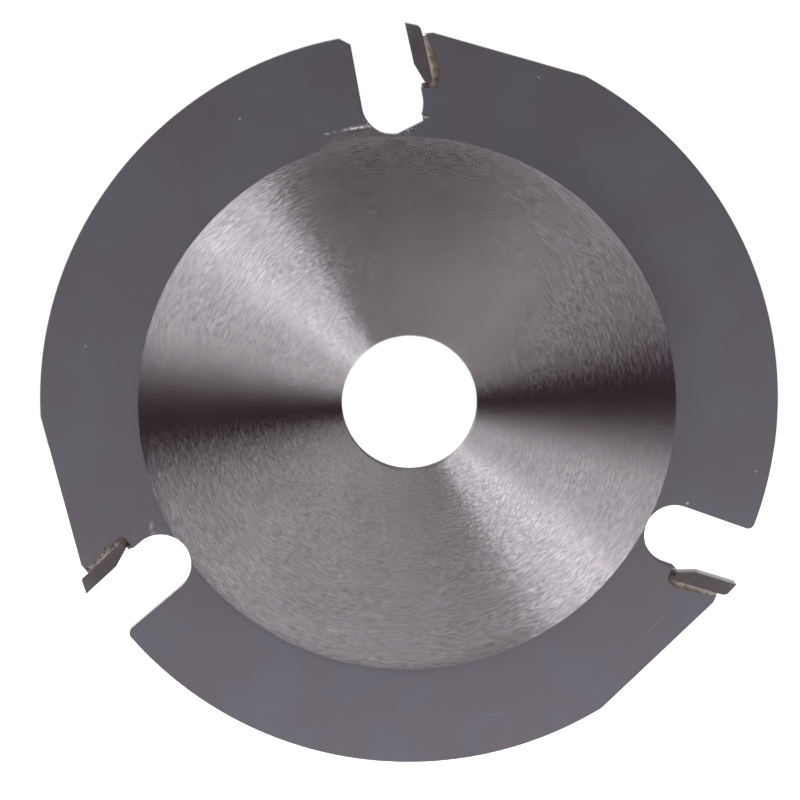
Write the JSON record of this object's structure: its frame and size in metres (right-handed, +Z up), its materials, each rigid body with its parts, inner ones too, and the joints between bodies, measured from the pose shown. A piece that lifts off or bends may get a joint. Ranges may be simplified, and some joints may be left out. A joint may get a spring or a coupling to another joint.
{
  "type": "angle grinder carving disc",
  "caption": "Round steel cutting disc with a plain central bore, a turned ring on its faces, and round-ended chip gullets, each with a brazed carbide tip and a straight land behind it.",
  "frame": {"origin": "centre of the bore, on the plate's mid-plane", "axes": "Y is the spin axis, the front face looks towards -Y, +Z is up with the disc standing upright and its first tip at the top"},
  "size_m": [0.1212, 0.0038, 0.1227],
  "materials": {
    "plate_steel": "ground in rings round the bore, satin grey outside that",
    "carbide": "sintered dark grey, ground on the rake face",
    "braze": "dull silver-brass bead with dark flux marks"
  },
  "bodies": {
    "root": {"blade_body": "plate_steel", "carbide_tip_1": "carbide", "carbide_tip_2": "carbide", "carbide_tip_3": "carbide", "braze_joint_1": "braze", "braze_joint_2": "braze", "braze_joint_3": "braze"}
  },
  "joints": []
}
